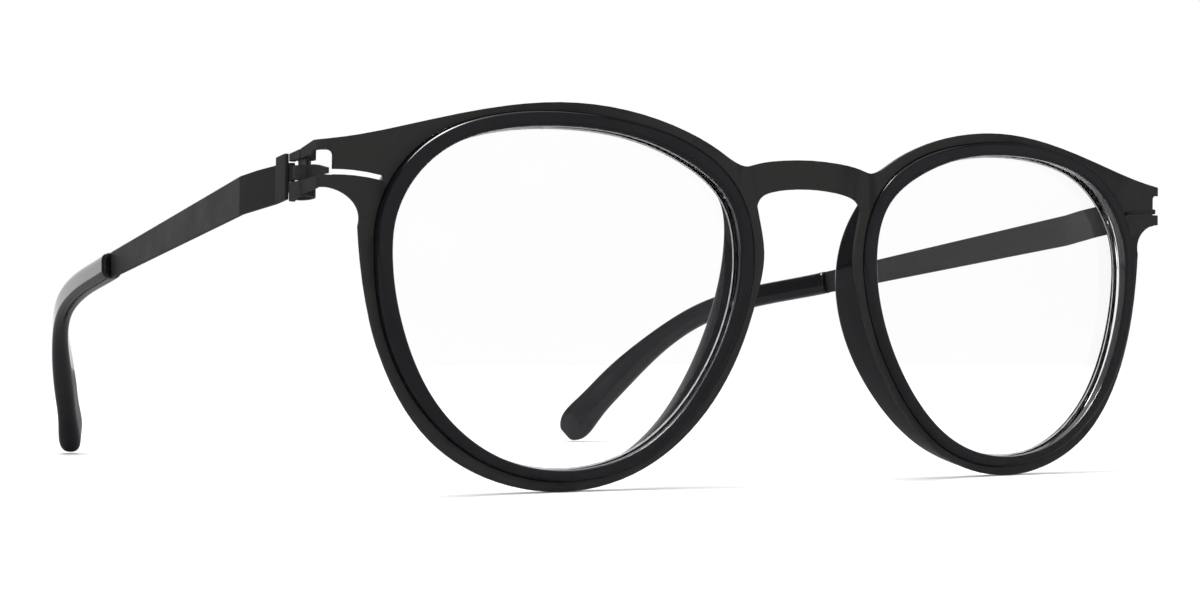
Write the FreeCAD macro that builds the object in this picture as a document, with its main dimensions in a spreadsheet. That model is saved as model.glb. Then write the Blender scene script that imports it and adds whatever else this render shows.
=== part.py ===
"""Round eyeglasses: a laser-cut sheet-steel front with acetate rim inserts and screwless folding temples.

Design frame, in millimetres: X runs across (the mirror plane is X = 0), Y runs back from the bridge,
Z runs up along the front sheet. At the end each part gets the placement that stands the glasses on a
floor at Z = 0, with the middle of their box over the origin. Parts are drawn on the +X side and mirrored.
"""
import FreeCAD, Part
import math
import os

import Sketcher
from FreeCAD import Placement, Rotation, Vector

doc = FreeCAD.newDocument("eyeglasses")

# ---------------------------------------------------------------------------- driving dimensions
SIZES = {
    "steel_gauge": 0.5,          # front and temple sheet
    "wrap_angle": 3.5,           # each eye of the front turns back by this much, in degrees
    "bridge_half": 11.0,         # the turn is spread over this half width
    "sheet_low": -31.0,          # the blank that the front is cut from
    "sheet_tall": 49.0,
    "lug_across": 66.8,          # outer face of the lugs, which are bent straight back
    "lug_bend": 1.0,             # outer radius of that bend
    "hinge_across": 65.5,        # the hinge axis stands upright here
    "hinge_back": 10.4,
    "knuckle_radius": 1.3,
    "knuckle_bore": 0.78,
    "knuckle_low": 3.9,          # lower and upper ends of the front's knuckles
    "knuckle_high": 9.75,
    "middle_low": 6.42,          # the temple's knuckle, between the two
    "middle_high": 8.05,
    "pin_radius": 0.74,          # the rolled spring that the knuckles turn on
    "pin_bore": 0.4,
    "pin_slit": 0.3,
    "pin_low": 4.5,
    "pin_high": 9.5,
    "window_back": 4.9,          # the hinge window is cut this far back from the bridge
    "seam_back": 8.75,           # where the rolled end of a lug closes on itself
    "seam_width": 0.3,
    "seam_deep": 0.3,
    "insert_high": 2.0,          # room for the rim insert in front of the sheet, before it is faced
    "insert_deep": 2.25,         # rim insert, from the front of the sheet to its back
    "flange_wide": 0.6,          # behind the sheet, the insert is this much wider than the aperture
    "insert_gap": 0.08,          # fit of the insert's neck in the sheet
    "lens_groove_front": 0.1,
    "lens_groove_wide": 1.8,
    "lens_groove_deep": 0.55,
    "lens_seat": 0.5,            # the lens reaches this far into the groove
    "lens_dome": 250.0,          # radius of the lens's front surface
    "lens_thick": 1.2,
    "lens_front": 0.48,          # depth of the lens's edge behind the front of the sheet
    "pad_deep": 5.5,             # nose pad behind the sheet, before its back is trimmed
    "pad_trim_wide": 24.0,       # the pad's back is trimmed over this width
    "temple_high": 9.0,          # blank of the temple
    "temple_tall": 22.0,
    "clip_stand": 0.5,           # the clip stands this far out of the temple
    "core_end": 100.0,           # the steel core ends here inside the tip
    "lean": 1.0,                 # the front leans forward by this much when it stands, in degrees
}
sheet = doc.addObject("Spreadsheet::Sheet", "Dimensions")
for row, (alias, value) in enumerate(SIZES.items(), start=1):
    sheet.set("A%d" % row, alias)
    sheet.set("B%d" % row, str(value))
    sheet.setAlias("B%d" % row, alias)
doc.recompute()


def size(alias):
    """The present value of a driving dimension."""
    return float(getattr(sheet, alias))


# ---------------------------------------------------------------------------- outlines, (x, z) at +X
# Each list runs the way it is named; splines pass through the points.
TOP_EDGE = [(0.0, 11.2), (4.4, 11.0), (8.4, 10.35), (9.9, 10.02), (11.0, 10.2), (13.6, 11.55), (18.8, 13.95),
            (26.2, 15.9), (35.5, 16.55), (44.6, 15.5), (53.0, 13.6), (60.0, 11.85), (67.6, 10.55)]
LUG_CORNER = (67.6, 5.3)
LUG_FILLET = [(66.0, 5.3), (63.9, 4.75), (62.35, 3.5), (61.95, 1.0)]
RIM_OUTER = [(61.95, 1.0), (61.1, -6.2), (58.35, -15.3), (52.4, -23.7), (44.2, -28.3), (35.0, -29.7),
             (24.6, -27.3), (16.3, -21.2), (10.8, -13.0), (8.1, -5.6), (7.25, -0.9), (7.75, 2.6), (8.35, 5.1)]
BRIDGE_UNDER = [(0.0, 7.52), (3.4, 7.35), (6.1, 6.93), (7.7, 6.25), (8.35, 5.1)]
NECK = [(60.15, -0.5), (58.8, 5.3), (54.0, 11.0), (45.6, 14.5), (35.8, 15.5), (26.0, 14.6), (17.0, 11.9),
        (11.2, 7.2), (8.8, 0.8), (9.6, -7.4), (14.4, -17.2), (23.2, -25.7), (34.5, -28.6), (46.0, -26.1),
        (55.2, -18.4), (59.3, -9.4)]
OPENING = [(57.6, -0.5), (56.0, 4.9), (50.8, 10.0), (43.6, 12.35), (35.0, 13.0), (26.0, 12.1), (18.5, 9.45),
           (13.0, 5.1), (11.5, -0.6), (12.75, -8.6), (17.4, -17.3), (25.1, -24.15), (34.5, -26.55),
           (44.8, -24.5),
           (52.5, -18.0), (56.4, -9.6)]
PAD_INNER = [(10.6, 7.0), (11.6, -0.6), (12.9, -8.6), (17.7, -17.4), (25.0, -24.0)]
PAD_OUTER = [(25.0, -27.0), (18.0, -22.0), (12.7, -14.6), (9.85, -8.0), (8.45, -3.4), (8.25, 0.6), (9.3, 5.4),
             (10.6, 7.0)]
PAD_BACK = [(2.3, 8.0), (5.95, -8.0), (3.8, -27.6)]           # (y, z) of the pad's back edge
PAD_BACK_START = 2.0                                          # the trim of that edge starts at this x
PAD_BACK_CLEAR = 9.0                                          # and reaches this far back
# what is faced off in front of the rim (along the eye, depth)
FACE_CUT = [(-6.0, -0.355), (53.0, -1.3), (53.0, -6.0), (-6.0, -6.0)]
SLOT = [(65.8, 7.02), (62.4, 7.04), (59.2, 6.62)]
SLOT_HALF = 0.31
WINDOW = (65.1, 6.7, 9.5, 0.6)                              # inner edge, low, high, corner radius
LUG_TRIM = [(4.2, 10.9), (8.8, 9.85), (12.5, 9.35), (12.5, 11.5), (4.2, 11.5)]           # (y, z), cut off
LUG_GAP = [(4.3, 6.6), (8.8, 6.28), (12.5, 6.08), (12.5, 8.6),
           (8.8, 8.8), (6.0, 9.05), (5.6, 9.51), (4.3, 9.51)]
LUG_SKIRT = [(4.9, 5.4), (10.5, 5.4), (10.5, 4.33), (5.3, 5.2), (4.9, 5.3)]
LUG_FOOT = [(8.0, 4.75), (12.6, 3.97), (12.6, 3.5), (8.0, 3.5)]
# the strip's rolled end, (x, y)
HEEL = [(66.4, 10.0), (66.8, 10.0), (66.8, 11.7), (66.5, 12.25), (65.75, 12.4)]
CLIP_SIDE = [(12.45, 4.2), (12.45, 9.55), (15.05, 9.2), (15.05, 4.65)]            # (y, z)
TONGUE_IN, TONGUE_OUT, TONGUE_TIP = 65.52, 65.95, 3.9
# cut off above and below the tongue, (y, z)
TONGUE_ABOVE = [(3.0, 7.35), (6.3, 7.95), (9.0, 8.2), (9.0, 9.0), (3.0, 9.0)]
TONGUE_BELOW = [(3.0, 6.95), (9.0, 6.5), (9.0, 6.0), (3.0, 6.0)]
TEMPLE_LINE = [(66.25, 10.4), (66.25, 16.5), (67.45, 23.5), (64.0, 75.0), (62.2, 90.0), (60.75, 101.5)]
TEMPLE_TOP = [(13.7, 8.7), (16.0, 8.4), (20.0, 7.98), (24.0, 7.38), (76.5, -0.4)]       # (y, z)
TEMPLE_LOW = [(76.5, -4.0), (24.0, 2.8), (16.0, 3.95), (13.7, 4.3)]
# behind the knuckle, a neck fills the gap in the lug
TEMPLE_FRONT, NECK_FRONT = 10.0, 11.75
NECK_TOP = [(11.9, 8.45), (13.3, 8.45)]
NECK_LOW = [(13.3, 6.27), (11.9, 6.27)]
CORE_TOP = [(76.5, -1.2), (76.8, -1.2), (101.0, -5.3)]
CORE_LOW = [(101.0, -6.7), (76.8, -3.2), (76.5, -3.2)]
# the tip's middle line from front to end: across, back, up, thickness, height
TIP = [(63.93, 76.3, -2.15, 2.8, 3.7), (62.3, 90.0, -3.95, 2.6, 3.7), (61.0, 100.0, -5.6, 2.4, 3.8),
       (59.4, 109.5, -8.4, 2.3, 3.9), (56.7, 118.3, -13.45, 2.6, 4.3), (53.2, 126.0, -20.2, 3.1, 5.3),
       (50.3, 131.9, -26.5, 3.3, 6.0), (49.0, 134.7, -29.75, 2.9, 5.2), (48.65, 135.5, -30.75, 1.7, 3.3)]
# rectangles well outside a piece: what lies between one of them and the piece's outline is cut away
AROUND_FRONT = [(-80, -40), (80, -40), (80, 30), (-80, 30)]
AROUND_LENS = [(-20, -50), (70, -50), (70, 40), (-20, 40)]
AROUND_TEMPLE = [(0, -30), (120, -30), (120, 20), (0, 20)]
TIP_SECTIONS = 18
TIP_CORNER = 0.36          # corner radius of a section, as a share of its thickness


# ---------------------------------------------------------------------------- drawing helpers
def new_body(label):
    body = doc.addObject("PartDesign::Body", label + "_body")
    body.Label = label
    return body


def origin_plane(body, role):
    return next(f for f in body.Origin.OriginFeatures if f.Role == role)


def new_sketch(body, name, role, offset=None):
    """A sketch on one of the body's own origin planes, with an optional offset in the plane's own axes."""
    sketch = body.newObject("Sketcher::SketchObject", name)
    sketch.AttachmentSupport = [(origin_plane(body, role), "")]
    sketch.MapMode = "FlatFace"
    if offset is not None:
        sketch.AttachmentOffset = offset
    return sketch


def level(alias):
    """Offset of a sketch on the XY plane up to the height that the sheet gives."""
    return Placement(Vector(0, 0, size(alias)), Rotation())


def flat(point):
    return Vector(point[0], point[1], 0)


def polyline(points, closed=True):
    """Straight lines through the points, back to the first one when closed."""
    ends = points[1:] + points[:1] if closed else points[1:]
    return [Part.LineSegment(flat(a), flat(b)) for a, b in zip(points, ends)]


def spline(points, periodic=False):
    curve = Part.BSplineCurve()
    curve.interpolate(Points=[flat(p) for p in points], PeriodicFlag=periodic)
    return curve


def mirror_x(points):
    return [(-x, z) for x, z in reversed(points)]


def pad(body, sketch, name, length, midplane=False, back=False):
    feature = body.newObject("PartDesign::Pad", name)
    feature.Profile = sketch
    feature.setExpression("Length", length)
    feature.Midplane = midplane
    feature.Reversed = back
    sketch.Visibility = False
    doc.recompute()
    return feature


def pocket(body, sketch, name, length=None, midplane=False, back=False):
    """A pocket to a stated depth, or through the whole body on both sides. It must remove something."""
    before = body.Shape.Volume
    feature = body.newObject("PartDesign::Pocket", name)
    feature.Profile = sketch
    if length is None:
        feature.Type = "ThroughAll"
        feature.Midplane = True
    else:
        feature.setExpression("Length", length)
        feature.Midplane = midplane
        feature.Reversed = back
    doc.recompute()
    if not body.Shape.Volume < before - 1e-4:
        raise RuntimeError("%s in %s removed nothing" % (name, body.Label))
    return feature


def circle(sketch, centre, radius_alias, name):
    index = sketch.addGeometry(Part.Circle(flat(centre), Vector(0, 0, 1), size(radius_alias)))
    constraint = sketch.addConstraint(Sketcher.Constraint("Radius", index, size(radius_alias)))
    sketch.renameConstraint(constraint, name)
    sketch.setExpression("Constraints." + name, "Dimensions." + radius_alias)
    return index


def slot_outline(points, half):
    """A slot of constant width along the arc through three points, with round ends."""
    arc = Part.Arc(*[flat(p) for p in points]).toShape().Curve
    centre, radius = arc.Center, arc.Radius
    unit = [(flat(p) - centre).normalize() for p in points]
    outer = [centre + u * (radius + half) for u in unit]
    inner = [centre + u * (radius - half) for u in unit]
    tangent = Vector(-unit[2].y, unit[2].x, 0)
    if tangent.dot(flat(points[2]) - flat(points[1])) < 0:
        tangent = -tangent
    return [Part.Arc(*outer), Part.Arc(outer[2], flat(points[2]) + tangent * half, inner[2]),
            Part.Arc(inner[2], inner[1], inner[0]), Part.LineSegment(inner[0], outer[0])]


# ---------------------------------------------------------------------------- front frame
def front_plan():
    """Plan of the bent sheet for one side: its front line and its back line, out to the hinge axis."""
    wrap = math.radians(size("wrap_angle"))
    gauge, bend, across = size("steel_gauge"), size("lug_bend"), size("lug_across")
    along = Vector(math.cos(wrap), math.sin(wrap), 0)
    rearward = Vector(-along.y, along.x, 0)
    radius = size("bridge_half") / math.sin(wrap)
    pivot = Vector(0, radius, 0)
    start = pivot + Vector(math.sin(wrap), -math.cos(wrap), 0) * radius
    centre_x = across - bend
    centre = start + along * ((centre_x - start.x - bend * rearward.x) / along.x) + rearward * bend
    sides = []
    for inset in (0.0, gauge):
        turn = [pivot + Vector(math.sin(a), -math.cos(a), 0) * (radius - inset) for a in (wrap / 2, wrap)]
        r = bend - inset
        out = centre - rearward * r
        corner = centre + Vector(math.cos(wrap / 2 - math.pi / 4), math.sin(wrap / 2 - math.pi / 4), 0) * r
        lug = centre + Vector(r, 0, 0)
        sides.append((Vector(0, inset, 0), turn[0], turn[1], out, corner, lug,
                      Vector(lug.x, size("hinge_back"), 0)))
    return sides


def front_frame():
    body = new_body("front_frame")
    plan = new_sketch(body, "sheet_plan", "XY_Plane", level("sheet_low"))
    for s in (1, -1):
        ends = []
        for begin, mid, turned, out, corner, lug, end in front_plan():
            begin, mid, turned, out, corner, lug, end = [
                Vector(s * p.x, p.y, 0) for p in (begin, mid, turned, out, corner, lug, end)]
            plan.addGeometry([Part.Arc(begin, mid, turned), Part.LineSegment(turned, out),
                              Part.Arc(out, corner, lug), Part.LineSegment(lug, end)])
            ends.append(end)
        plan.addGeometry(Part.LineSegment(*ends))
    pad(body, plan, "sheet_blank", "Dimensions.sheet_tall")

    trim = new_sketch(body, "front_outline", "XZ_Plane")
    trim.addGeometry(polyline(AROUND_FRONT))
    trim.addGeometry(spline(mirror_x(TOP_EDGE) + TOP_EDGE[1:]))
    trim.addGeometry(spline(mirror_x(BRIDGE_UNDER) + BRIDGE_UNDER[1:]))
    for s in (1, -1):
        corner = [(s * x, z) for x, z in (TOP_EDGE[-1], LUG_CORNER, LUG_FILLET[0])]
        trim.addGeometry(polyline(corner, closed=False))
        trim.addGeometry(spline([(s * x, z) for x, z in LUG_FILLET]))
        trim.addGeometry(spline([(s * x, z) for x, z in RIM_OUTER]))
    pocket(body, trim, "front_trim")

    eyes = new_sketch(body, "rim_apertures", "XZ_Plane")
    for s in (1, -1):
        eyes.addGeometry(spline([(s * x, z) for x, z in NECK], periodic=True))
    pocket(body, eyes, "rim_cut")

    window = new_sketch(body, "hinge_window", "XZ_Plane")
    inner, low_z, high_z, corner = WINDOW
    outer = size("lug_across") + 1
    middle = corner * (1 - math.sqrt(0.5))
    for s in (1, -1):
        begin, bend, end = [Vector(s * x, z, 0) for x, z in (
            (inner, high_z - corner), (inner + middle, high_z - middle), (inner + corner, high_z))]
        straight = [(inner + corner, high_z), (outer, high_z), (outer, low_z),
                    (inner, low_z), (inner, high_z - corner)]
        window.addGeometry(Part.Arc(begin, bend, end))
        window.addGeometry(polyline([(s * x, z) for x, z in straight], closed=False))
    pocket(body, window, "window_cut", "Dimensions.window_back")

    slot = new_sketch(body, "lug_slot", "XZ_Plane")
    for s in (1, -1):
        slot.addGeometry(slot_outline([(s * x, z) for x, z in SLOT], SLOT_HALF))
    pocket(body, slot, "slot_cut", "Dimensions.window_back")

    knuckles = new_sketch(body, "knuckle_plan", "XY_Plane", level("knuckle_low"))
    knuckles.setExpression("AttachmentOffset.Base.z", "Dimensions.knuckle_low")
    for s, side in ((1, "right"), (-1, "left")):
        centre = (s * size("hinge_across"), size("hinge_back"))
        circle(knuckles, centre, "knuckle_radius", "knuckle_" + side)
        circle(knuckles, centre, "knuckle_bore", "bore_" + side)
    pad(body, knuckles, "knuckle_rolls", "Dimensions.knuckle_high - Dimensions.knuckle_low")

    for s, side in ((1, "right"), (-1, "left")):
        inside = Placement(Vector(0, 0, s * (size("lug_across") - size("steel_gauge"))), Rotation())
        skirt = new_sketch(body, "skirt_" + side, "YZ_Plane", inside)
        skirt.addGeometry(polyline(LUG_SKIRT))
        pad(body, skirt, "lug_skirt_" + side, "Dimensions.steel_gauge", back=s < 0)

    heels = new_sketch(body, "heel_plan", "XY_Plane", level("knuckle_low"))
    heels.setExpression("AttachmentOffset.Base.z", "Dimensions.knuckle_low")
    for s in (1, -1):
        inner, start, straight, middle, end = [Vector(s * x, y, 0) for x, y in HEEL]
        heels.addGeometry([Part.LineSegment(inner, start), Part.LineSegment(start, straight),
                           Part.Arc(straight, middle, end), Part.LineSegment(end, inner)])
    pad(body, heels, "knuckle_heels", "Dimensions.knuckle_high - Dimensions.knuckle_low")

    lugs = new_sketch(body, "lug_profile", "YZ_Plane")
    lugs.addGeometry(polyline(LUG_TRIM) + polyline(LUG_GAP) + polyline(LUG_FOOT))
    pocket(body, lugs, "lug_trim")

    seams = new_sketch(body, "seam_plan", "XY_Plane")
    near, far = size("seam_back"), size("seam_back") + size("seam_width")
    floor, outside = size("lug_across") - size("seam_deep"), size("lug_across") + 0.5
    for s in (1, -1):
        seam = [(floor, near), (outside, near), (outside, far), (floor, far)]
        seams.addGeometry(polyline([(s * x, y) for x, y in seam]))
    pocket(body, seams, "seam_cut")
    return body


# ---------------------------------------------------------------------------- one eye
def eye_offset(depth):
    """Offset of a sketch on the XZ plane that lies on the eye's own plane, at a depth behind its front."""
    wrap = math.radians(size("wrap_angle"))
    radius = size("bridge_half") / math.sin(wrap)
    start = Vector(size("bridge_half"), radius * (1 - math.cos(wrap)), 0)
    turn = Rotation(Vector(0, 1, 0), size("wrap_angle"))
    # the plane's own axes are x = X, y = Z, z = -Y
    base = Vector(start.x, 0, -start.y) + turn.multVec(Vector(0, 0, -depth))
    return Placement(base, turn)


def on_eye(points):
    """Outline points measured along the eye's plane from where its flat part starts."""
    stretch = math.cos(math.radians(size("wrap_angle")))
    return [((x - size("bridge_half")) / stretch, z) for x, z in points]


def grow(points, distance):
    """Points of a closed outline moved outwards along its normals."""
    count = len(points)
    grown = []
    for i, (x, z) in enumerate(points):
        before, after = points[i - 1], points[(i + 1) % count]
        dx, dz = after[0] - before[0], after[1] - before[1]
        length = math.hypot(dx, dz)
        grown.append((x + dz / length * distance, z - dx / length * distance))
    return grown


def rim_insert():
    body = new_body("rim_insert_right")
    front = -size("insert_high")
    gauge = size("steel_gauge")

    neck = new_sketch(body, "neck_outline", "XZ_Plane", eye_offset(front))
    neck.addGeometry(spline(on_eye(grow(NECK, -size("insert_gap"))), periodic=True))
    pad(body, neck, "neck", "Dimensions.insert_high + Dimensions.insert_deep", back=True)

    flange = new_sketch(body, "flange_outline", "XZ_Plane", eye_offset(gauge + size("insert_gap")))
    flange.addGeometry(spline(on_eye(grow(NECK, size("flange_wide"))), periodic=True))
    pad(body, flange, "flange",
        "Dimensions.insert_deep - Dimensions.steel_gauge - Dimensions.insert_gap", back=True)

    nose = new_sketch(body, "pad_outline", "XZ_Plane", eye_offset(gauge + size("insert_gap")))
    inside, outside = on_eye(PAD_INNER), on_eye(PAD_OUTER)
    nose.addGeometry([spline(inside), Part.LineSegment(flat(inside[-1]), flat(outside[0])), spline(outside)])
    pad(body, nose, "nose_pad", "Dimensions.pad_deep", back=True)

    back = new_sketch(body, "pad_back", "YZ_Plane", Placement(Vector(0, 0, PAD_BACK_START), Rotation()))
    top, middle, bottom = PAD_BACK
    back.addGeometry(Part.Arc(flat(top), flat(middle), flat(bottom)))
    clear = [(PAD_BACK_CLEAR, bottom[1]), (PAD_BACK_CLEAR, top[1])]
    back.addGeometry(polyline([bottom] + clear + [top], closed=False))
    pocket(body, back, "pad_back_cut", "Dimensions.pad_trim_wide", back=True)

    opening = new_sketch(body, "lens_opening", "XZ_Plane", eye_offset(front - 1))
    opening.addGeometry(spline(on_eye(OPENING), periodic=True))
    pocket(body, opening, "opening_cut")

    groove = new_sketch(body, "lens_groove", "XZ_Plane", eye_offset(size("lens_groove_front")))
    groove.addGeometry(spline(on_eye(grow(OPENING, size("lens_groove_deep"))), periodic=True))
    pocket(body, groove, "groove_cut", "Dimensions.lens_groove_wide")

    face = new_sketch(body, "face_plan", "XY_Plane")
    face.addGeometry(polyline([eye_point(along, depth) for along, depth in FACE_CUT]))
    pocket(body, face, "face_cut")
    return body


def eye_point(along, depth):
    """Plan point at a distance along the eye's plane and a depth behind its front."""
    wrap = math.radians(size("wrap_angle"))
    radius = size("bridge_half") / math.sin(wrap)
    start = Vector(size("bridge_half"), radius * (1 - math.cos(wrap)), 0)
    across = Vector(math.cos(wrap), math.sin(wrap), 0)
    return start + across * along + Vector(-across.y, across.x, 0) * depth


def lens():
    """A shallow shell turned about the eye's axis and cut to the lens outline."""
    body = new_body("lens_right")
    centre_along, centre_z, radius, reach = 23.3, -6.5, 24.0, 31.0
    dome, thick, edge = size("lens_dome"), size("lens_thick"), size("lens_front")
    sag = dome - math.sqrt(dome ** 2 - radius ** 2)
    wrap = size("wrap_angle")
    origin = eye_point(centre_along, edge - sag)
    profile = new_sketch(body, "lens_profile", "XY_Plane",
                         Placement(Vector(origin.x, origin.y, centre_z), Rotation(Vector(0, 0, 1), wrap)))

    def arc(offset):
        r = dome - offset
        points = []
        for across in (0, reach / 2, reach):
            points.append(Vector(across, dome - math.sqrt(r ** 2 - across ** 2), 0))
        return points

    outer, inner = arc(0), arc(thick)
    profile.addGeometry([Part.Arc(*outer), Part.LineSegment(outer[2], inner[2]),
                         Part.Arc(*reversed(inner)), Part.LineSegment(inner[0], outer[0])])
    turn = body.newObject("PartDesign::Revolution", "dome")
    turn.Profile = profile
    turn.ReferenceAxis = (profile, ["V_Axis"])
    turn.Angle = 360
    doc.recompute()

    edge_cut = new_sketch(body, "lens_outline", "XZ_Plane", eye_offset(0.0))
    edge_cut.addGeometry(polyline(AROUND_LENS))
    edge_cut.addGeometry(spline(on_eye(grow(OPENING, size("lens_seat"))), periodic=True))
    pocket(body, edge_cut, "edge_cut")
    return body


# ---------------------------------------------------------------------------- hinge and temple
def hinge_pin():
    body = new_body("hinge_pin_right")
    plan = new_sketch(body, "pin_plan", "XY_Plane", level("pin_low"))
    plan.setExpression("AttachmentOffset.Base.z", "Dimensions.pin_low")
    centre = (size("hinge_across"), size("hinge_back"))
    circle(plan, centre, "pin_radius", "outside")
    circle(plan, centre, "pin_bore", "inside")
    pad(body, plan, "rolled_sheet", "Dimensions.pin_high - Dimensions.pin_low")
    slit = new_sketch(body, "slit_plan", "XY_Plane")
    half = size("pin_slit") / 2
    x, y = centre
    outside, inside = x - 2 * size("pin_radius"), x - size("pin_bore") / 2
    near, far = y - half, y + half
    slit.addGeometry(polyline([(outside, near), (inside, near), (inside, far), (outside, far)]))
    pocket(body, slit, "slit_cut")
    return body


def strip_outline(points, gauge):
    """Both edges of a bent strip in plan, from its centre line."""
    normals = []
    for a, b in zip(points, points[1:]):
        d = (flat(b) - flat(a)).normalize()
        normals.append(Vector(-d.y, d.x, 0))
    shift = [normals[0]]
    for n, m in zip(normals, normals[1:]):
        shift.append((n + m) * (1 / (1 + n.dot(m))))
    shift.append(normals[-1])
    left = [flat(p) + n * (gauge / 2) for p, n in zip(points, shift)]
    right = [flat(p) - n * (gauge / 2) for p, n in zip(points, shift)]
    loop = left + right[::-1]
    return [Part.LineSegment(a, b) for a, b in zip(loop, loop[1:] + loop[:1])]


def temple():
    body = new_body("temple_right")
    gauge = size("steel_gauge")
    below = Placement(Vector(0, 0, size("temple_high") - size("temple_tall")), Rotation())
    plan = new_sketch(body, "temple_plan", "XY_Plane", below)
    plan.addGeometry(strip_outline(TEMPLE_LINE, gauge))
    pad(body, plan, "temple_blank", "Dimensions.temple_tall")

    side = new_sketch(body, "temple_profile", "YZ_Plane")
    side.addGeometry(polyline(AROUND_TEMPLE))
    high, low = size("middle_high"), size("middle_low")
    upper = [(TEMPLE_FRONT, high), (NECK_FRONT, high)] + NECK_TOP + TEMPLE_TOP + CORE_TOP
    lower = CORE_LOW + TEMPLE_LOW + NECK_LOW + [(NECK_FRONT, low), (TEMPLE_FRONT, low)]
    side.addGeometry(polyline(upper + lower))
    pocket(body, side, "temple_trim")

    roll = new_sketch(body, "knuckle_plan", "XY_Plane", level("middle_low"))
    roll.setExpression("AttachmentOffset.Base.z", "Dimensions.middle_low")
    centre = (size("hinge_across"), size("hinge_back"))
    circle(roll, centre, "knuckle_radius", "knuckle")
    circle(roll, centre, "knuckle_bore", "bore")
    pad(body, roll, "knuckle_roll", "Dimensions.middle_high - Dimensions.middle_low")

    bore = new_sketch(body, "bore_plan", "XY_Plane")
    circle(bore, centre, "knuckle_bore", "clear_bore")
    pocket(body, bore, "bore_cut")

    tongue = new_sketch(body, "tongue_plan", "XY_Plane", level("middle_low"))
    root = size("hinge_back") - (size("knuckle_radius") + size("knuckle_bore")) / 2
    tongue.addGeometry(polyline([(TONGUE_IN, TONGUE_TIP), (TONGUE_OUT, TONGUE_TIP),
                                 (TONGUE_OUT, root), (TONGUE_IN, root)]))
    pad(body, tongue, "tongue", "Dimensions.middle_high - Dimensions.middle_low")
    taper = new_sketch(body, "tongue_profile", "YZ_Plane")
    taper.addGeometry(polyline(TONGUE_ABOVE) + polyline(TONGUE_BELOW))
    pocket(body, taper, "tongue_taper")
    return body


def hinge_clip():
    """A bar folded over the front end of the temple."""
    body = new_body("hinge_clip_right")
    inner = TEMPLE_LINE[0][0] + size("steel_gauge") / 2
    side = new_sketch(body, "clip_side", "YZ_Plane", Placement(Vector(0, 0, inner), Rotation()))
    side.addGeometry(polyline(CLIP_SIDE))
    pad(body, side, "clip_bar", "Dimensions.clip_stand")
    return body


def rounded_box(half_wide, half_tall, corner):
    """A rectangle with round corners about the sketch's origin."""
    lines, arcs = [], []
    x, y, c = half_wide, half_tall, corner
    k = c * (1 - math.sqrt(0.5))
    corners = [((x, y - c), (x - k, y - k), (x - c, y)), ((-x + c, y), (-x + k, y - k), (-x, y - c)),
               ((-x, -y + c), (-x + k, -y + k), (-x + c, -y)), ((x - c, -y), (x - k, -y + k), (x, -y + c))]
    for i, (first, middle, last) in enumerate(corners):
        arcs.append(Part.Arc(flat(first), flat(middle), flat(last)))
        lines.append(Part.LineSegment(flat(last), flat(corners[(i + 1) % 4][0])))
    return [piece for pair in zip(arcs, lines) for piece in pair]


def tip_solid():
    """The acetate tip: rounded sections, evenly spaced along the ear bend and joined by one loft."""
    body = new_body("tip_blank_right")
    spine = Part.BSplineCurve()
    spine.interpolate([Vector(*station[:3]) for station in TIP])
    reach = [spine.parameter(Vector(*station[:3])) for station in TIP]
    girth = Part.BSplineCurve()
    girth.interpolate(Points=[Vector(thick, tall, 0) for _, _, _, thick, tall in TIP], Parameters=reach)
    sections = []
    for i, along in enumerate(spine.discretize(TIP_SECTIONS)):
        place = spine.parameter(along)
        thick, tall, _ = girth.value(place)
        ahead = Vector(*spine.tangent(place)[0])
        side = Vector(ahead.y, -ahead.x, 0).normalize()
        turn = Rotation(side, side.cross(ahead) * -1, ahead, "ZXY")
        section = new_sketch(body, "tip_section_%d" % i, "XY_Plane", Placement(along, turn))
        section.addGeometry(rounded_box(thick / 2, tall / 2, TIP_CORNER * thick))
        sections.append(section)
    loft = body.newObject("PartDesign::AdditiveLoft", "tip_loft")
    loft.Profile = sections[0]
    loft.Sections = sections[1:]
    doc.recompute()
    return body


# ---------------------------------------------------------------------------- assembly
def mirrored(source, label):
    copy = doc.addObject("Part::Mirroring", label + "_mirror")
    copy.Label = label
    copy.Source = source
    copy.Normal = Vector(1, 0, 0)
    return copy


frame_body = front_frame()
temple_body = temple()
tip_blank = tip_solid()
tip_cut = doc.addObject("Part::Cut", "temple_tip_cut")
tip_cut.Label = "temple_tip_right"
tip_cut.Base = tip_blank
tip_cut.Tool = temple_body
doc.recompute()
right_parts = [rim_insert(), lens(), hinge_pin(), temple_body, hinge_clip(), tip_cut]
parts = [frame_body] + right_parts
parts += [mirrored(p, p.Label.replace("right", "left")) for p in right_parts]
doc.recompute()

for item in doc.Objects:
    if "Invalid" in item.State or "Error" in item.State:
        raise RuntimeError("%s is %s" % (item.Label, item.State))

turned = [p.Shape.copy() for p in parts]
for shape in turned:
    shape.rotate(Vector(0, 0, 0), Vector(1, 0, 0), size("lean"))
box = Part.makeCompound(turned).optimalBoundingBox(False)
shift = Vector(0, -(box.YMin + box.YMax) / 2, -box.ZMin)
os.makedirs("parts", exist_ok=True)
for part in parts:
    shape = part.Shape.copy()
    if shape.isNull() or not shape.isValid():
        raise RuntimeError("%s is null or not valid" % part.Label)
    print("%-20s volume %9.2f  solids %d" % (part.Label, shape.Volume, len(shape.Solids)))
print("box %.2f x %.2f x %.2f, shift %.3f %.3f" % (box.XLength, box.YLength, box.ZLength, shift.y, shift.z))
# the cut tips and the mirrored parts follow the bodies that they are made from
stand = Placement(shift, Rotation(Vector(1, 0, 0), size("lean")))
for body in doc.findObjects("PartDesign::Body"):
    body.Placement = stand
doc.recompute()
for part in parts:
    part.Shape.exportStep(os.path.join("parts", part.Label + ".step"))
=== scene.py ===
"""Round eyeglasses: the finished look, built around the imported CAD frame. Units are metres."""
import math

import bmesh
import bpy
import numpy as np
from mathutils import Matrix, Vector
from mathutils.bvhtree import BVHTree


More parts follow.
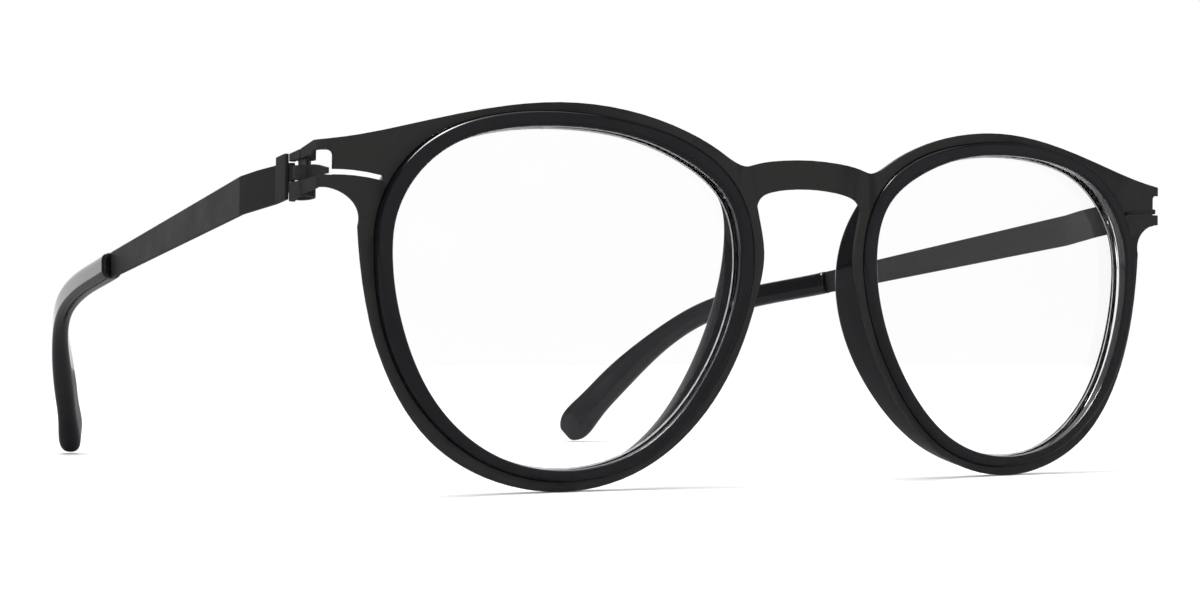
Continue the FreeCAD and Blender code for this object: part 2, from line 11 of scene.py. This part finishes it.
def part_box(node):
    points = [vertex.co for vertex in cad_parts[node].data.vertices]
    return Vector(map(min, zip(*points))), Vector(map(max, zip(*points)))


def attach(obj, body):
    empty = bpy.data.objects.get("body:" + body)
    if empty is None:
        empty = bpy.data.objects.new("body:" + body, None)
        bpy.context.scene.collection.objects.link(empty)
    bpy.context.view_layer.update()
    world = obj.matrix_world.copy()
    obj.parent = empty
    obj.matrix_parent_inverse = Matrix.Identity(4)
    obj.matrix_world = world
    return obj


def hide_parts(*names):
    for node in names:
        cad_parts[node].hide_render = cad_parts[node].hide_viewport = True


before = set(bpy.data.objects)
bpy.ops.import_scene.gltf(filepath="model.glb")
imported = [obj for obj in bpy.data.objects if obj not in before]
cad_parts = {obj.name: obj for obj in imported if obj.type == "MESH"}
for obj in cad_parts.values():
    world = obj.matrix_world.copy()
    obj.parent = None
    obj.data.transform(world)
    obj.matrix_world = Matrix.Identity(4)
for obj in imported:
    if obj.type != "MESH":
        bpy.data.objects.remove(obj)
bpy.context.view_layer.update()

MM = 0.001
SIDES = ("right", "left")
WHITE = (1.0, 1.0, 1.0)

# The front leans forward by this much, and each eye's plane turns back by the wrap.
LEAN = math.radians(1.0)
WRAP = math.radians(3.5)


# ------------------------------------------------------------------------------------- node helpers
def new_material(name):
    material = bpy.data.materials.new(name)
    material.use_nodes = True
    nodes = material.node_tree.nodes
    return material, nodes, material.node_tree.links, nodes["Principled BSDF"]


def object_space(nodes, links, scale):
    """Object coordinates, stretched by a scale along each axis."""
    place = nodes.new("ShaderNodeTexCoord")
    mapping = nodes.new("ShaderNodeMapping")
    mapping.inputs["Scale"].default_value = scale
    links.new(place.outputs["Object"], mapping.inputs["Vector"])
    return mapping.outputs["Vector"]


def noise(nodes, links, vector, scale, detail=4.0, roughness=0.55):
    texture = nodes.new("ShaderNodeTexNoise")
    texture.inputs["Scale"].default_value = scale
    texture.inputs["Detail"].default_value = detail
    texture.inputs["Roughness"].default_value = roughness
    links.new(vector, texture.inputs["Vector"])
    return texture.outputs["Fac"]


def ramp(nodes, links, factor, stops):
    """A colour or grey ramp over stops of (position, colour)."""
    node = nodes.new("ShaderNodeValToRGB")
    elements = node.color_ramp.elements
    while len(elements) < len(stops):
        elements.new(0.5)
    for element, (position, colour) in zip(elements, stops):
        element.position = position
        element.color = (*colour, 1.0) if len(colour) == 3 else colour
    links.new(factor, node.inputs["Fac"])
    return node.outputs["Color"]


def bump(nodes, links, height, strength, distance):
    node = nodes.new("ShaderNodeBump")
    node.inputs["Strength"].default_value = strength
    node.inputs["Distance"].default_value = distance
    links.new(height, node.inputs["Height"])
    return node.outputs["Normal"]


def grey(value):
    return (value, value, value)


def mirrored_rays(nodes, links):
    """1 for a ray that a polished surface mirrors, and 0 for one that comes straight or through glass."""
    path = nodes.new("ShaderNodeLightPath")
    mask = nodes.new("ShaderNodeMath")
    mask.operation = "SUBTRACT"
    mask.use_clamp = True
    links.new(path.outputs["Is Glossy Ray"], mask.inputs[0])
    links.new(path.outputs["Is Transmission Ray"], mask.inputs[1])
    return mask.outputs["Value"]


def blend_shaders(nodes, links, factor, first, second):
    """Ends the material with a mix of two shaders."""
    mix = nodes.new("ShaderNodeMixShader")
    links.new(factor, mix.inputs["Fac"])
    links.new(first.outputs["BSDF"], mix.inputs[1])
    links.new(second.outputs["BSDF"], mix.inputs[2])
    links.new(mix.outputs["Shader"], nodes["Material Output"].inputs["Surface"])


# ------------------------------------------------------------------------------------- materials
def coated_steel(name, colour, rough, grain):
    """Matte dark coating over blasted steel: fine grain, faint cloudy patches, and a painted highlight that
    makes convex edges paler.
    """
    material, nodes, links, shader = new_material(name)
    even = object_space(nodes, links, (1.0, 1.0, 1.0))
    patches = noise(nodes, links, even, 240.0, 4.0)
    dark = [c * 0.92 for c in colour]
    light = [c * 1.08 for c in colour]
    base = ramp(nodes, links, patches, [(0.35, dark), (0.7, light)])
    # painted highlight: convex edges, picked out by pointiness, get a paler colour that stands in for light
    # caught on the edges
    edge_shape = nodes.new("ShaderNodeNewGeometry")
    edge = ramp(nodes, links, edge_shape.outputs["Pointiness"], [(0.52, grey(0.0)), (0.62, grey(1.0))])
    mix = nodes.new("ShaderNodeMix")
    mix.data_type = "RGBA"
    links.new(edge, mix.inputs["Factor"])
    links.new(base, mix.inputs["A"])
    mix.inputs["B"].default_value = (*[c * 1.7 for c in colour], 1.0)
    links.new(mix.outputs["Result"], shader.inputs["Base Color"])
    fine = noise(nodes, links, even, 5200.0, 2.0)
    links.new(ramp(nodes, links, patches, [(0.3, grey(rough - 0.05)), (0.7, grey(rough + 0.05))]),
              shader.inputs["Roughness"])
    links.new(bump(nodes, links, fine, grain, 0.02 * MM), shader.inputs["Normal"])
    shader.inputs["Specular IOR Level"].default_value = 0.35
    return material


def spring_steel():
    """Bare rolled spring sheet with drawn lines along the roll."""
    material, nodes, links, shader = new_material("spring_steel")
    drawn = object_space(nodes, links, (1.0, 1.0, 0.06))
    lines = noise(nodes, links, drawn, 5200.0, 3.0)
    links.new(ramp(nodes, links, lines, [(0.3, grey(0.16)), (0.7, grey(0.26))]), shader.inputs["Base Color"])
    links.new(ramp(nodes, links, lines, [(0.3, grey(0.3)), (0.7, grey(0.42))]), shader.inputs["Roughness"])
    links.new(bump(nodes, links, lines, 0.3, 0.01 * MM), shader.inputs["Normal"])
    shader.inputs["Metallic"].default_value = 1.0
    return material


def acetate():
    """Polished black acetate: blue-black depth, soft tumbling waves and faint hazy spots in the gloss."""
    material, nodes, links, shader = new_material("acetate")
    even = object_space(nodes, links, (1.0, 1.0, 1.0))
    depth = noise(nodes, links, even, 140.0, 3.0)
    base = ramp(nodes, links, depth, [(0.3, (0.004, 0.004, 0.0055)), (0.7, (0.0065, 0.0065, 0.0085))])
    links.new(base, shader.inputs["Base Color"])
    haze = noise(nodes, links, even, 420.0, 4.0)
    links.new(ramp(nodes, links, haze, [(0.35, grey(0.07)), (0.75, grey(0.12))]), shader.inputs["Roughness"])
    waves = noise(nodes, links, even, 260.0, 1.0)
    links.new(bump(nodes, links, waves, 0.12, 0.05 * MM), shader.inputs["Normal"])
    shader.inputs["IOR"].default_value = 1.49
    return material


def lens_glass():
    """Clear coated lens. Lamps pass through it, so that it throws no dark shadow."""
    material, nodes, links, shader = new_material("lens")
    even = object_space(nodes, links, (1.0, 1.0, 1.0))
    smear = noise(nodes, links, even, 60.0, 2.0)
    links.new(ramp(nodes, links, smear, [(0.4, (0.985, 0.99, 0.988)), (0.8, (0.995, 0.998, 0.997))]),
              shader.inputs["Base Color"])
    links.new(ramp(nodes, links, smear, [(0.4, grey(0.0)), (0.9, grey(0.03))]), shader.inputs["Roughness"])
    shader.inputs["Transmission Weight"].default_value = 1.0
    shader.inputs["IOR"].default_value = 1.25
    path = nodes.new("ShaderNodeLightPath")
    clear = nodes.new("ShaderNodeBsdfTransparent")
    blend_shaders(nodes, links, path.outputs["Is Shadow Ray"], shader, clear)
    return material


def lens_edge():
    """The ground bevel round the back of the lens, which gathers light into a pale line."""
    material, nodes, links, shader = new_material("lens_edge")
    even = object_space(nodes, links, (1.0, 1.0, 1.0))
    ground = noise(nodes, links, even, 1500.0, 2.0)
    links.new(ramp(nodes, links, ground, [(0.3, (0.62, 0.63, 0.64)), (0.7, (0.85, 0.86, 0.87))]),
              shader.inputs["Base Color"])
    links.new(ramp(nodes, links, ground, [(0.3, grey(0.3)), (0.7, grey(0.45))]), shader.inputs["Roughness"])
    return material


def floor_paper():
    """Plain white studio paper with a barely visible tooth."""
    material, nodes, links, shader = new_material("studio_paper")
    even = object_space(nodes, links, (1.0, 1.0, 1.0))
    tooth = noise(nodes, links, even, 900.0, 3.0)
    links.new(ramp(nodes, links, tooth, [(0.3, grey(0.93)), (0.7, grey(0.95))]), shader.inputs["Base Color"])
    shader.inputs["Roughness"].default_value = 0.7
    shader.inputs["Specular IOR Level"].default_value = 0.2
    # painted shade: gloss rays see the floor as a darker grey, standing in for a studio table that falls into
    # shade outside the lamp's pool
    shade = nodes.new("ShaderNodeBsdfDiffuse")
    shade.inputs["Color"].default_value = (*grey(0.2), 1.0)
    blend_shaders(nodes, links, mirrored_rays(nodes, links), shader, shade)
    return material


# ------------------------------------------------------------------------------------- mesh helpers
def new_piece(name, points, faces, body, material):
    """A smooth closed mesh that rides on a body and fills a material slot."""
    mesh = bpy.data.meshes.new(name)
    mesh.from_pydata([tuple(p) for p in points], [], faces)
    mesh.validate()
    mesh.shade_smooth()
    piece = bpy.data.objects.new(name, mesh)
    bpy.context.scene.collection.objects.link(piece)
    mesh.materials.append(material)
    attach(piece, body)
    return piece


def loop_faces(rings, around):
    """Quads of a closed tube-like grid: rings stations, each with the same closed loop of points."""
    faces = []
    for i in range(rings):
        for j in range(around):
            a, b = i * around + j, i * around + (j + 1) % around
            c, d = ((i + 1) % rings) * around + (j + 1) % around, ((i + 1) % rings) * around + j
            faces.append((a, b, c, d))
    return faces


def smooth_round(values, width):
    """Gaussian smoothing of values around a full turn; width counts in samples."""
    reach = int(width * 4) + 1
    weights = np.exp(-0.5 * (np.arange(-reach, reach + 1) / width) ** 2)
    weights /= weights.sum()
    wrapped = np.concatenate([values[-reach:], values, values[:reach]])
    return np.convolve(wrapped, weights, mode="valid")


def rounded_section(corners, steps):
    """A closed section: each corner (s, d, radius) becomes an arc of the given number of steps.
    Two corners share the side between them in proportion to their radii."""
    section = []
    count = len(corners)
    for i, (s, d, radius) in enumerate(corners):
        here = np.array((s, d))
        last, following = corners[i - 1], corners[(i + 1) % count]
        before = np.array(last[:2]) - here
        after = np.array(following[:2]) - here
        len_before, len_after = np.linalg.norm(before), np.linalg.norm(after)
        before, after = before / len_before, after / len_after
        half = math.acos(max(-1.0, min(1.0, float(before @ after)))) / 2
        cut = min(radius / math.tan(half), 0.98 * len_before * radius / (radius + last[2]),
                  0.98 * len_after * radius / (radius + following[2]))
        radius = cut * math.tan(half)
        middle = here + (before + after) / np.linalg.norm(before + after) * (radius / math.sin(half))
        start, end = here + before * cut - middle, here + after * cut - middle
        sweep = math.pi - 2 * half
        turn = 1.0 if start[0] * end[1] - start[1] * end[0] > 0 else -1.0
        for k in range(steps + 1):
            a = turn * sweep * k / steps
            section.append(middle + np.array((start[0] * math.cos(a) - start[1] * math.sin(a),
                                              start[0] * math.sin(a) + start[1] * math.cos(a))))
    return section


# ------------------------------------------------------------------------------------- rim inserts
STATIONS = 360                # sections round one eye
SECTION_STEPS = 6             # steps of each rounded corner of a section
FAR = 60 * MM                 # well outside an eye
NEAR_RING = 30 * MM           # a box of this half size round the lens's middle holds the eye's ring
SHEET = 0.5 * MM
FIT = 0.03 * MM               # the insert's flange stands this far off the sheet
GROOVE_FRONT, GROOVE_BACK, GROOVE_DEEP = 0.1 * MM, 1.9 * MM, 0.55 * MM

# depths at which the CAD insert's walls are read, and how many stations each reading is smoothed over
FRONT_DEPTH, REAR_DEPTH = 0.2 * MM, 1.6 * MM
SMOOTHING = {"inner": 2.5, "neck": 2.5, "rear": 4.0, "front": 4.0, "back": 5.0}

# the flange turns into a nose pad where it is wider than this, fully so after the second width
PAD_STARTS, PAD_GROWS = 0.5 * MM, 1.2 * MM


class EyePlane:
    """Axes of one eye: across the eye, up, and depth behind the front of the sheet."""

    def __init__(self, side):
        sign = 1.0 if side == "right" else -1.0
        lean = Matrix.Rotation(LEAN, 3, "X")
        self.across = lean @ Vector((math.cos(WRAP) * sign, math.sin(WRAP), 0.0))
        self.depth = lean @ Vector((-math.sin(WRAP) * sign, math.cos(WRAP), 0.0))
        self.up = lean @ Vector((0.0, 0.0, 1.0))
        low, high = [Vector(c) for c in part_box("lens_" + side)]
        middle = (low + high) / 2
        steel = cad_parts["front_frame"].data
        # the front of the sheet: the least depth found on the ring round the lens
        near = [v.co - middle for v in steel.vertices]
        ring = [p for p in near if max(abs(p.dot(self.across)), abs(p.dot(self.up))) < NEAR_RING]
        self.origin = middle + self.depth * min(p.dot(self.depth) for p in ring)

    def point(self, across, up, depth):
        return self.origin + self.across * across + self.up * up + self.depth * depth


def surface_of(node):
    """The faces of a CAD node's mesh, ready for rays."""
    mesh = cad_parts[node].data
    return BVHTree.FromPolygons([v.co for v in mesh.vertices], [p.vertices for p in mesh.polygons])


def rim_profile(side, eye):
    """Reads one CAD rim insert: radius of its walls and depth of its faces, all round the eye."""
    surface = surface_of("rim_insert_" + side)
    found = {key: np.zeros(STATIONS) for key in SMOOTHING}

    def reading(start, way, along):
        """How far along a direction from the eye's origin a ray hits the insert."""
        hit = surface.ray_cast(start, way)[0]
        return (hit - eye.origin).dot(along)

    for i in range(STATIONS):
        angle = 2 * math.pi * i / STATIONS
        way = eye.across * math.cos(angle) + eye.up * math.sin(angle)
        outside = eye.origin + way * FAR
        inner = reading(eye.origin + eye.depth * FRONT_DEPTH, way, way)
        neck = reading(outside - eye.depth * FRONT_DEPTH, -way, way)
        rear = reading(outside + eye.depth * REAR_DEPTH, -way, way)
        before = eye.origin + way * ((inner + neck) / 2) - eye.depth * FAR
        behind = eye.origin + way * ((inner + rear) / 2) + eye.depth * FAR
        found["inner"][i], found["neck"][i], found["rear"][i] = inner, neck, rear
        found["front"][i] = reading(before, eye.depth, eye.depth)
        found["back"][i] = reading(behind, -eye.depth, eye.depth)
    return {key: smooth_round(found[key], width) for key, width in SMOOTHING.items()}


def rim_insert(side, eye, rim, material):
    """The acetate insert: soft shoulders in front, a lens groove, and a full round nose pad."""
    points = []
    for i in range(STATIONS):
        angle = 2 * math.pi * i / STATIONS
        inner, neck, rear = rim["inner"][i], rim["neck"][i], rim["rear"][i]
        front, back = rim["front"][i], rim["back"][i]
        pad = min(1.0, max(0.0, (rear - neck - PAD_STARTS) / PAD_GROWS))
        # corners of the section as (radius of the eye, depth, rounding); the pad's share rounds them more
        corners = [
            (inner, front, 0.38 * MM),
            (neck, front, 0.6 * MM),
            (neck, SHEET + FIT, 0.05 * MM),
            (rear, SHEET + FIT, 0.15 * MM + 0.5 * MM * pad),
            (rear, back, 0.35 * MM + 1.85 * MM * pad),
            (inner, back, 0.35 * MM + 0.25 * MM * pad),
            (inner, GROOVE_BACK, 0.06 * MM),
            (inner + GROOVE_DEEP, GROOVE_BACK, 0.05 * MM),
            (inner + GROOVE_DEEP, GROOVE_FRONT, 0.05 * MM),
            (inner, GROOVE_FRONT, 0.06 * MM)]
        for s, d in rounded_section(corners, SECTION_STEPS):
            points.append(eye.point(s * math.cos(angle), s * math.sin(angle), d))
    around = len(points) // STATIONS
    faces = loop_faces(STATIONS, around)
    piece = new_piece("acetate_rim_" + side, points, faces, "frame", material)
    consistent_normals(piece)
    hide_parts("rim_insert_" + side)
    return piece


# ------------------------------------------------------------------------------------- lenses
LENS_DOME = 250 * MM
LENS_THICK = 1.2 * MM
LENS_RINGS = 24
LENS_SEAT = 0.5 * MM          # the lens reaches this far into the groove
EDGE_BAND = 0.22 * MM         # the ground bevel of the rear face, which shows as a pale line at the rim


def lens_piece(side, eye, rim, glass, edge):
    """The lens: two domed faces out into the groove, and a pale ground band round the rear one at the rim."""
    front = surface_of("lens_" + side).ray_cast(eye.origin - eye.depth * FAR, eye.depth)[0]
    apex = (front - eye.origin).dot(eye.depth)

    def depth(radius, inset):
        bend = LENS_DOME - inset
        return apex + LENS_DOME - math.sqrt(bend ** 2 - radius ** 2)

    # rings of radii: evenly out to the band, then the rim's inner wall and the bottom of the groove
    band = rim["inner"] - EDGE_BAND
    rings = [band * ring / LENS_RINGS for ring in range(1, LENS_RINGS + 1)]
    rings += [rim["inner"], rim["inner"] + LENS_SEAT]
    points, faces, materials = [], [], []
    for inset in (0.0, LENS_THICK):
        points.append(eye.point(0.0, 0.0, depth(0.0, inset)))
        for radii in rings:
            for i, radius in enumerate(radii):
                angle = 2 * math.pi * i / STATIONS
                across, up = radius * math.cos(angle), radius * math.sin(angle)
                points.append(eye.point(across, up, depth(radius, inset)))
    half = len(points) // 2
    for start in (0, half):
        for i in range(STATIONS):
            j = (i + 1) % STATIONS
            faces.append((start, start + 1 + i, start + 1 + j))
            materials.append(0)
            for ring in range(LENS_RINGS + 1):
                a = start + 1 + ring * STATIONS
                faces.append((a + i, a + STATIONS + i, a + STATIONS + j, a + j))
                materials.append(1 if ring == LENS_RINGS - 1 and start == half else 0)
    outer = 1 + (LENS_RINGS + 1) * STATIONS
    for i in range(STATIONS):
        j = (i + 1) % STATIONS
        faces.append((outer + i, half + outer + i, half + outer + j, outer + j))
        materials.append(0)
    piece = new_piece("clear_lens_" + side, points, faces, "frame", glass)
    piece.data.materials.append(edge)
    piece.data.polygons.foreach_set("material_index", materials)
    rim_edges = len(piece.data.polygons) - STATIONS
    for polygon in piece.data.polygons[rim_edges:]:
        polygon.use_smooth = False
    consistent_normals(piece)
    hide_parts("lens_" + side)
    return piece


def consistent_normals(piece):
    """Turns every face of a closed piece outwards."""
    work = bmesh.new()
    work.from_mesh(piece.data)
    bmesh.ops.recalc_face_normals(work, faces=work.faces)
    work.to_mesh(piece.data)
    work.free()


# ------------------------------------------------------------------------------------- tips and sheet parts
def copied(node, name, body, material):
    """A copy of a CAD node's mesh as a new piece that stands for it."""
    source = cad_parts[node]
    mesh = source.data.copy()
    mesh.materials.clear()
    mesh.materials.append(material)
    piece = bpy.data.objects.new(name, mesh)
    bpy.context.scene.collection.objects.link(piece)
    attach(piece, body)
    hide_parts(node)
    return piece


def apply_modifiers(piece):
    depsgraph = bpy.context.evaluated_depsgraph_get()
    mesh = bpy.data.meshes.new_from_object(piece.evaluated_get(depsgraph))
    piece.modifiers.clear()
    piece.data = mesh


def softened_sheet(node, name, body, material, width):
    """A sheet part with its cut edges broken, so that they catch a thin line of light."""
    piece = copied(node, name, body, material)
    weld = piece.modifiers.new("weld", "WELD")
    weld.merge_threshold = 0.001 * MM
    bevel = piece.modifiers.new("broken_edges", "BEVEL")
    bevel.width = width
    bevel.segments = 2
    bevel.limit_method = "ANGLE"
    bevel.angle_limit = math.radians(40)
    bevel.use_clamp_overlap = True
    weighted = piece.modifiers.new("flat_faces", "WEIGHTED_NORMAL")
    weighted.mode = "FACE_AREA"
    weighted.weight = 80
    piece.data.shade_smooth()
    apply_modifiers(piece)
    return piece


def temple_tip(side, material):
    """The acetate tip, tumbled smooth: a fine remesh of the CAD tip with its edges worn round."""
    piece = copied("temple_tip_" + side, "acetate_tip_" + side, "arm_" + side, material)
    remesh = piece.modifiers.new("remesh", "REMESH")
    remesh.mode = "VOXEL"
    remesh.voxel_size = 0.2 * MM
    edge_shape = piece.modifiers.new("edge_shape", "SMOOTH")
    edge_shape.factor = 0.5
    edge_shape.iterations = 14
    apply_modifiers(piece)
    piece.data.shade_smooth()
    return piece


# ------------------------------------------------------------------------------------- build
BROKEN_EDGE, CLIP_EDGE = 0.06 * MM, 0.12 * MM

front_steel = coated_steel("front_steel", (0.0108, 0.0108, 0.0102), 0.6, 0.25)
temple_steel = coated_steel("temple_steel", (0.0145, 0.0145, 0.0145), 0.5, 0.2)
spring = spring_steel()
black_acetate = acetate()
clear_lens = lens_glass()
pale_edge = lens_edge()

softened_sheet("front_frame", "steel_front", "frame", front_steel, BROKEN_EDGE)
for side in SIDES:
    arm = "arm_" + side
    eye = EyePlane(side)
    rim = rim_profile(side, eye)
    rim_insert(side, eye, rim, black_acetate)
    temple_tip(side, black_acetate)
    softened_sheet("temple_" + side, "steel_temple_" + side, arm, temple_steel, BROKEN_EDGE)
    softened_sheet("hinge_clip_" + side, "steel_clip_" + side, arm, temple_steel, CLIP_EDGE)
    lens_piece(side, eye, rim, clear_lens, pale_edge)
    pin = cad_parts["hinge_pin_" + side].data
    pin.materials.clear()
    pin.materials.append(spring)


# ------------------------------------------------------------------------------------- studio
BACKDROP_WAY = (0.26, 0.966, 0.0)         # the white screen that gloss sees stands this way
SCREEN_EDGE = (0.72, 0.93)                # it fades in between these cosines from that way
SCREEN_LIGHT = 1.1
ROOM_EDGE = (-0.2, -0.7)                  # the front half of the room fades from dim to a soft glow
ROOM_LIGHT = (0.1, 0.34)
FLOOR_REACH = 3.0
SOFTBOX = {"place": (-0.12, 0.14, 0.8), "size": 0.5, "energy": 2.5}
GLINT = {"place": (-0.16, 0.1, 0.75), "size": 0.4, "energy": 9.0}
WASH = {"place": (0.0, 0.2, 1.0), "angle": math.radians(70), "energy": 0.7}


def smooth_step(nodes, links, value, low, high, start, end):
    """Goes smoothly from start to end while the value goes from low to high."""
    node = nodes.new("ShaderNodeMapRange")
    node.interpolation_type = "SMOOTHSTEP"
    for socket, number in (("From Min", low), ("From Max", high), ("To Min", start), ("To Max", end)):
        node.inputs[socket].default_value = number
    links.new(value, node.inputs["Value"])
    return node.outputs["Result"]


def backdrop():
    """White surroundings. Gloss sees only a white screen behind, a dim room and a soft glow in front."""
    world = bpy.data.worlds.new("studio")
    world.use_nodes = True
    nodes, links = world.node_tree.nodes, world.node_tree.links
    place = nodes.new("ShaderNodeTexCoord")
    facing = nodes.new("ShaderNodeVectorMath")
    facing.operation = "DOT_PRODUCT"
    facing.inputs[1].default_value = BACKDROP_WAY
    links.new(place.outputs["Generated"], facing.inputs[0])
    screen = smooth_step(nodes, links, facing.outputs["Value"], *SCREEN_EDGE, 0.0, SCREEN_LIGHT)
    split = nodes.new("ShaderNodeSeparateXYZ")
    links.new(place.outputs["Generated"], split.inputs["Vector"])
    room = smooth_step(nodes, links, split.outputs["Y"], *ROOM_EDGE, *ROOM_LIGHT)
    gloss = nodes.new("ShaderNodeMath")
    gloss.operation = "MAXIMUM"
    links.new(screen, gloss.inputs[0])
    links.new(room, gloss.inputs[1])
    level = nodes.new("ShaderNodeMix")
    links.new(mirrored_rays(nodes, links), level.inputs["Factor"])
    level.inputs["A"].default_value = 1.0
    links.new(gloss.outputs["Value"], level.inputs["B"])
    links.new(level.outputs["Result"], nodes["Background"].inputs["Strength"])
    nodes["Background"].inputs["Color"].default_value = (*WHITE, 1.0)
    return world


def floor_sheet():
    mesh = bpy.data.meshes.new("floor")
    corners = [(-FLOOR_REACH, -FLOOR_REACH, 0), (FLOOR_REACH, -FLOOR_REACH, 0),
               (FLOOR_REACH, FLOOR_REACH, 0), (-FLOOR_REACH, FLOOR_REACH, 0)]
    mesh.from_pydata(corners, [], [(0, 1, 2, 3)])
    mesh.materials.append(floor_paper())
    floor = bpy.data.objects.new("floor", mesh)
    bpy.context.scene.collection.objects.link(floor)
    return floor


def hung_lamp(light, setting):
    """Hangs a light at its place, turned to the middle of the floor."""
    light.energy = setting["energy"]
    lamp = bpy.data.objects.new(light.name, light)
    lamp.location = setting["place"]
    lamp.rotation_euler = (-Vector(setting["place"])).to_track_quat("-Z", "Y").to_euler()
    bpy.context.scene.collection.objects.link(lamp)
    return lamp


def square_lamp(name, setting):
    light = bpy.data.lights.new(name, "AREA")
    light.shape = "SQUARE"
    light.size = setting["size"]
    return hung_lamp(light, setting)


def studio():
    """A floor, white surroundings, a softbox and a broad wash from above, and a lamp that only gloss sees."""
    floor = floor_sheet()
    bpy.context.scene.world = backdrop()
    softbox = square_lamp("softbox", SOFTBOX)
    sun = bpy.data.lights.new("wash", "SUN")
    sun.angle = WASH["angle"]
    wash = hung_lamp(sun, WASH)
    glint = square_lamp("glint", GLINT)
    glint.visible_diffuse = False


# ------------------------------------------------------------------------------------- camera
CAMERA_LENS, SENSOR_WIDTH, SHIFT = 66.17, 36.0, 0.015
CAMERA_YAW, CAMERA_PITCH, CAMERA_ROLL = [math.radians(a) for a in (32.396, 1.476, 0.030)]
CAMERA_FROM_PIN = (-0.23940, -0.23024, -0.02083)    # metres, from the middle of the right hinge pin


def camera():
    """A long lens low in front of the viewer's left side, level with the middle of the rims."""
    data = bpy.data.cameras.new("camera")
    data.sensor_width = SENSOR_WIDTH
    data.lens = CAMERA_LENS
    data.shift_x = SHIFT
    data.clip_start = 0.01
    low, high = [Vector(c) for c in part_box("hinge_pin_right")]
    place = (low + high) / 2 + Vector(CAMERA_FROM_PIN)
    turn = (Matrix.Rotation(-CAMERA_YAW, 4, "Z") @ Matrix.Rotation(math.radians(90) + CAMERA_PITCH, 4, "X")
            @ Matrix.Rotation(CAMERA_ROLL, 4, "Z"))
    seen = bpy.data.objects.new("camera", data)
    seen.matrix_world = Matrix.Translation(place) @ turn
    bpy.context.scene.collection.objects.link(seen)
    bpy.context.scene.camera = seen


bpy.context.scene.view_settings.view_transform = "Standard"
studio()
camera()
